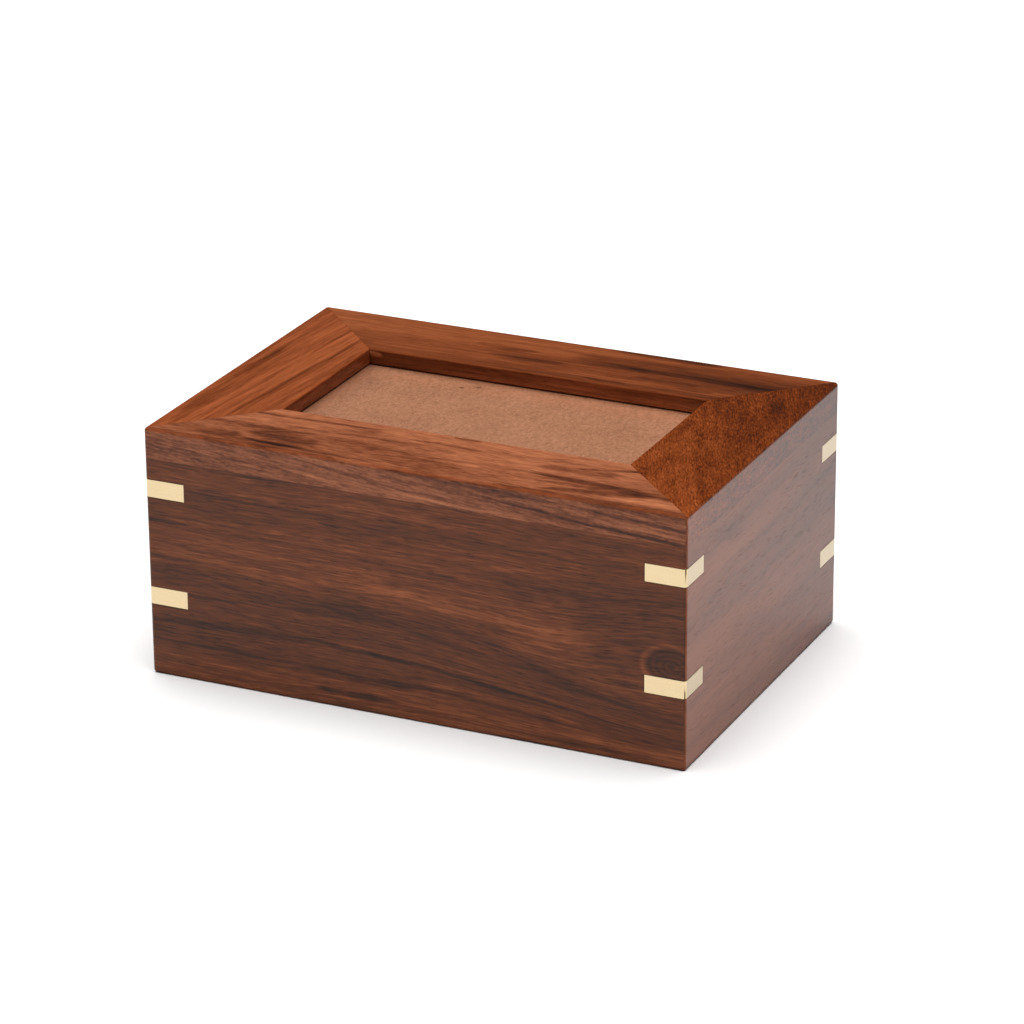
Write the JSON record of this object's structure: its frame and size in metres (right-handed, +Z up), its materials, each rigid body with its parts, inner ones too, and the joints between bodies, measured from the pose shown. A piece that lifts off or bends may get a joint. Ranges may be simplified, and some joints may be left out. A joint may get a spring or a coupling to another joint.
{
  "type": "photo frame urn",
  "caption": "Low rectangular rosewood urn box with mitred corners and brass corner inlays, closed by a flush mitred picture frame with a clear pane over a hardboard back.",
  "frame": {"origin": "centre of the underside, on the surface that the box stands on", "axes": "+X along the long side to the right, +Y from the front wall to the back wall, +Z up"},
  "size_m": [0.196, 0.134, 0.089],
  "materials": {
    "rosewood_walls": "satin lacquered rosewood",
    "rosewood_base": "plain sanded rosewood",
    "rosewood_rails": "satin lacquered rosewood",
    "clear_glass": "clear and polished",
    "hardboard": "matte pressed fibre",
    "brass": "polished"
  },
  "bodies": {
    "root": {"wall_front": "rosewood_walls", "wall_back": "rosewood_walls", "wall_left": "rosewood_walls", "wall_right": "rosewood_walls", "base_panel": "rosewood_base", "rail_front": "rosewood_rails", "rail_back": "rosewood_rails", "rail_left": "rosewood_rails", "rail_right": "rosewood_rails", "clear_pane": "clear_glass", "backing_board": "hardboard", "inlay_front_left_upper": "brass", "inlay_front_left_lower": "brass", "inlay_front_right_upper": "brass", "inlay_front_right_lower": "brass", "inlay_back_left_upper": "brass", "inlay_back_left_lower": "brass", "inlay_back_right_upper": "brass", "inlay_back_right_lower": "brass"}
  },
  "joints": []
}
